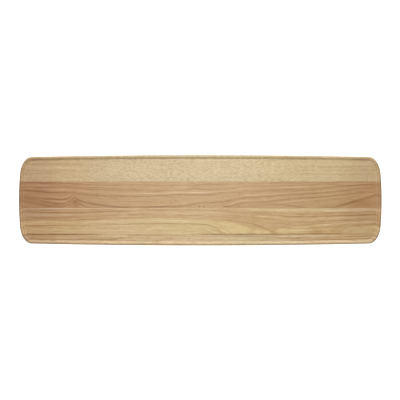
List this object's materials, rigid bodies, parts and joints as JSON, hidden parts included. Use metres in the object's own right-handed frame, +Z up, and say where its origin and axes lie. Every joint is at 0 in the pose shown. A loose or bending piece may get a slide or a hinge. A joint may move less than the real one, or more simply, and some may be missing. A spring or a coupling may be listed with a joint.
{
  "type": "wrist rest",
  "caption": "Low solid-wood wrist rest for a compact keyboard, edge-glued from long staves, with rounded corners, a shallow dished top inside a thin raised lip, and low rubber feet.",
  "frame": {"origin": "centre of the footprint, on the desk plane the feet stand on", "axes": "+X along the length to the user's right, +Y to the back edge beside the keyboard, +Z up"},
  "size_m": [0.36, 0.09, 0.0195],
  "materials": {
    "wood_pale": "satin clear lacquer on pale straight-grained hardwood",
    "wood_pinkish": "satin clear lacquer on pinkish brown wood with wavy grain lines",
    "wood_tan": "satin clear lacquer on tan wood with arched grain",
    "wood_straw": "satin clear lacquer on straw-coloured wood with short flecks",
    "glue": "cured wood glue line, sanded flush",
    "foot_rubber": "matte black non-slip rubber",
    "adhesive": "off-white double-sided adhesive"
  },
  "bodies": {
    "root": {"stave_back": "wood_pale", "stave_middle_back": "wood_pinkish", "stave_middle_front": "wood_tan", "stave_front": "wood_straw", "glue_line_back": "glue", "glue_line_middle": "glue", "glue_line_front": "glue", "foot_back_left": "foot_rubber", "foot_adhesive_back_left": "adhesive", "foot_back_centre": "foot_rubber", "foot_adhesive_back_centre": "adhesive", "foot_back_right": "foot_rubber", "foot_adhesive_back_right": "adhesive", "foot_front_left": "foot_rubber", "foot_adhesive_front_left": "adhesive", "foot_front_centre": "foot_rubber", "foot_adhesive_front_centre": "adhesive", "foot_front_right": "foot_rubber", "foot_adhesive_front_right": "adhesive"}
  },
  "joints": []
}
